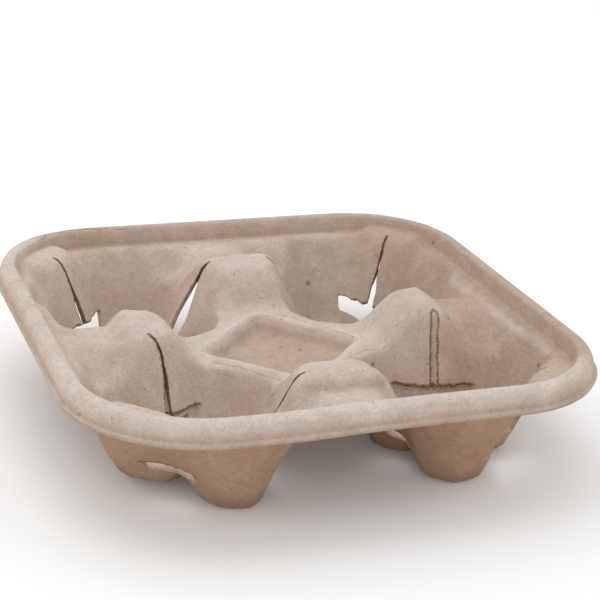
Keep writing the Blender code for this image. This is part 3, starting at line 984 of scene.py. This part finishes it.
@dataclass
class Studio:
    """White floor that keeps the tray's shadow, soft lamps, and the photograph's camera."""

    lamps: tuple[Lamp, ...]
    world_level: float = 0.96
    floor_half: float = 3.0
    floor_grey: float = 0.93
    floor_lift: float = 0.04
    floor_gap: float = 0.0002
    lens: float = 100.713
    eye: Point = (-0.2252, -0.6018, 0.2985)
    eye_turn: Point = (68.82, -3.21, -19.84)

    def build(self) -> None:
        """Add the floor, the world, the lamps and the camera."""
        self.floor()
        self.world()
        for lamp in self.lamps:
            lamp.build()
        self.camera()
        bpy.context.scene.view_settings.view_transform = "Standard"

    def floor(self) -> None:
        """A floor that is white to the eye where nothing shades it and lights the tray as pale paper."""
        half = self.floor_half
        corners = [(-half, -half, 0.0), (half, -half, 0.0), (half, half, 0.0), (-half, half, 0.0)]
        data = bpy.data.meshes.new("floor")
        data.from_pydata(corners, [], [(0, 1, 2, 3)])
        floor = bpy.data.objects.new("floor", data)
        floor.location.z = -self.floor_gap
        bpy.context.scene.collection.objects.link(floor)
        material = bpy.data.materials.new("floor_paper")
        material.use_nodes = True
        nodes = Nodes(material)
        tree = material.node_tree
        tree.nodes.remove(tree.nodes["Principled BSDF"])
        seen = self.seen(nodes, ("Camera", "Glossy", "Transmission"))
        level = nodes.add(MATH, "MULTIPLY", _0=seen, _1=self.floor_lift)
        grey = self.floor_grey
        plain = nodes.add("ShaderNodeBsdfDiffuse", Color=(grey, grey, grey, 1.0))
        glow = nodes.add("ShaderNodeEmission", Color=(1.0, 1.0, 1.0, 1.0), Strength=level)
        lift = nodes.add("ShaderNodeAddShader", _0=plain, _1=glow)
        tree.links.new(lift, tree.nodes["Material Output"].inputs["Surface"])
        data.materials.append(material)

    def seen(self, nodes: Nodes, rays: tuple[str, ...]) -> Socket:
        """A share that is 1 for rays of the given kinds and 0 for the rest."""
        total = 0.0
        for ray in rays:
            path = nodes.add("ShaderNodeLightPath", output=f"Is {ray} Ray")
            total = nodes.add(MATH, "MAXIMUM", _0=total, _1=path)
        return total

    def world(self) -> None:
        """An even grey fill that looks white to the camera."""
        world = bpy.data.worlds.new("studio")
        bpy.context.scene.world = world
        world.use_nodes = True
        nodes = Nodes(world)
        seen = self.seen(nodes, ("Camera", "Transmission"))
        level = nodes.add(RANGE, Value=seen, To_Min=self.world_level, To_Max=1.0)
        back = world.node_tree.nodes["Background"]
        back.inputs["Color"].default_value = (1.0, 1.0, 1.0, 1.0)
        world.node_tree.links.new(level, back.inputs["Strength"])

    def camera(self) -> None:
        """The camera that saw the tray: 0.7 m away, 21 degrees up, turned 21 degrees to the left."""
        data = bpy.data.cameras.new("camera")
        data.lens = self.lens
        data.sensor_width = 36.0
        camera = bpy.data.objects.new("camera", data)
        bpy.context.scene.collection.objects.link(camera)
        camera.location = self.eye
        camera.rotation_euler = np.radians(self.eye_turn)
        bpy.context.scene.camera = camera


def millimetres(values: tuple[float, ...]) -> tuple[float, ...]:
    """Lengths given in millimetres, in metres."""
    return tuple(value * MM for value in values)


def tray_slits() -> tuple[Slit, ...]:
    """The twelve torn slits, each as open and as crooked as it is on the tray, in millimetres here."""
    ne, nw, sw, se = Quarter.NORTH_EAST, Quarter.NORTH_WEST, Quarter.SOUTH_WEST, Quarter.SOUTH_EAST
    corner, facing_x, facing_y = Panel.CORNER, Panel.FACING_X, Panel.FACING_Y
    hair, straight = (0.7, 0.6, 0.6), (0.0, 0.0, 0.0)
    gaping, crooked = (0.8, 0.8, 1.8, 2.0, 1.2, 0.8, 0.8, 0.8), (0.0, 0.6, 1.6, 1.8, 0.0)
    wedge, narrowing = (3.2, 6.0, 5.6, 2.0, 1.0), (3.4, 3.4, 3.2, 2.6, 0.6, 0.7, 0.6, 0.6, 0.6)
    split, swung, parallel = (3.0, 2.8, 1.4, 0.7, 0.6), (-0.9, -1.3, -3.0, -3.4, -0.4), (3.4, 3.2, 3.0)
    shut = {"press": 2.0, "closed": 1.1}
    # Quarter, panel, widths, places across, heights of the bar's halves, other sizes, and the rest.
    rows = (
        (nw, corner, gaping, crooked, (7.5, 7.5), {"step": 1.4}, {}),
        (nw, facing_x, wedge, straight, (1.2, 1.2), {"step": -2.6}, {}),
        (nw, facing_y, hair, straight, (5, 5), {}, {}),
        (ne, corner, narrowing, straight, (6.5, 5.5), {}, {}),
        (ne, facing_x, hair, straight, (6, 6), {}, {"tear_and_shade": 0.1}),
        (ne, facing_y, hair, straight, (6, 6), {}, {}),
        (sw, corner, hair, straight, (4.5, 4.5), {"closed": 0.1}, {"opened": (-12, 12), "marked": False}),
        (sw, facing_x, hair, straight, (4, 4), {}, {}),
        (sw, facing_y, split, swung, (7, 7), {"press": 1.8}, {"opened": (-13, -5), "rows": 3}),
        (se, corner, hair, straight, (7, 7), {}, {}),
        (se, facing_x, hair, straight, (5, 5), {}, {"opened": (-10, 10)}),
        (se, facing_y, parallel, straight, (8, 8), shut, {"opened": (-14, -6), "rows": 3}),
    )
    slits = []
    for seed, (quarter, panel, widths, across, bar, sizes, rest) in enumerate(rows, 3):
        lengths = {name: value * MM for name, value in sizes.items()}
        stem = (millimetres(widths), millimetres(across), *millimetres(bar))
        slits.append(Slit(quarter, panel, *stem, **lengths, **rest, seed=seed))
    return tuple(slits)


def tray_nudges() -> tuple[Nudge, ...]:
    """Where use has shoved the sheet: the front feet, the front ledge, the front rim and the left foot."""
    shoves = (
        ((-46.7, -72.0, 4.0), 18.0, (5.0, 0.0, 0.0)),
        ((-30.0, -80.0, 30.0), 13.0, (3.5, 0.0, 0.0)),
        ((-8.0, -89.0, 42.0), 10.0, (0.0, 0.0, 2.6)),
        ((-40.0, -103.0, 47.0), 40.0, (0.0, 0.0, -1.2)),
        ((-74.0, -50.0, 0.0), 14.0, (0.0, 0.0, 4.0)),
        ((-70.0, -70.0, 13.0), 18.0, (0.0, 0.0, 1.8)),
        ((46.7, -72.0, 4.0), 16.0, (1.5, 0.0, 0.0)),
    )
    return tuple(Nudge(millimetres(place), radius * MM, millimetres(move)) for place, radius, move in shoves)


def tray_pits() -> tuple[Pit, ...]:
    """Pits of the upper face: on the rear rim, a ridge, the recess' floor, a saddle and two walls."""
    pits = (
        ((97.4, 67.4, 44.6), 1.2),
        ((33.5, -18.8, 25.4), 1.2),
        ((4.3, 12.4, 23.2), 1.0),
        ((11.2, 7.8, 23.1), 1.2),
        ((67.9, -15.5, 41.7), 1.0),
        ((91.7, -51.9, 33.6), 1.3),
        ((43.9, 87.1, 20.8), 1.6),
    )
    return tuple(Pit(millimetres(place), radius * MM) for place, radius in pits)


def tray_strokes() -> tuple[Stroke, ...]:
    """Lines of the upper face, in this order: the rim's crack, then painted shade in a crease, along two
    ridge lines, in the front knob's dark band and at the two ends of the shut slit's bar, and a painted
    highlight streak along the right ledge."""
    rim_crack = (
        (-95.5, 74.2, 48.6),
        (-79.5, 94.9, 50.0),
        (-66.0, 100.7, 50.0),
        (-44.1, 99.7, 49.4),
        (-37.1, 99.8, 49.4),
    )
    runs = (
        (rim_crack, 0.7, 0.55, False),
        (((23.0, -18.8, 30.0), (31.6, -13.8, 30.2), (40.2, -14.5, 31.1)), 0.8, 0.40, False),
        (((10.0, 29.9, 30.4), (31.8, 3.7, 29.8)), 1.0, 0.32, False),
        (((-33.8, -11.3, 29.9), (-23.0, -20.8, 29.9), (-12.9, -34.6, 30.1)), 1.0, 0.38, False),
        (((-14.3, -68.5, 41.7), (-0.6, -71.5, 41.7), (15.7, -68.6, 40.9)), 4.0, 0.26, False),
        (((73.0, -29.5, 18.1), (72.2, -31.5, 14.0)), 0.8, 0.60, False),
        (((44.4, -21.3, 16.8), (45.2, -23.2, 13.2)), 0.8, 0.60, False),
        # A painted highlight along the right ledge's slope.
        (((91.2, 33.6, 39.2), (91.1, -16.8, 40.8), (94.2, -53.5, 40.2)), 3.0, 0.40, True),
    )
    return tuple(
        Stroke(tuple(millimetres(point) for point in points), width * MM, share, pale)
        for points, width, share, pale in runs
    )


def main() -> None:
    """Build the tray and the studio."""
    logging.basicConfig(level=logging.INFO, format="%(name)s %(message)s")
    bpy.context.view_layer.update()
    sheet = Sheet(TrayShape(), RimProfile(), tray_slits(), tray_nudges())
    PulpTray(sheet, PulpFinish(), tray_pits(), tray_strokes()).build()
    Studio((Lamp("top", (-0.25, 0.45, 1.1), 1.0, 3.0),)).build()
    LOG.info("studio: floor, world, lamp and camera")


if __name__ == "__main__":
    main()
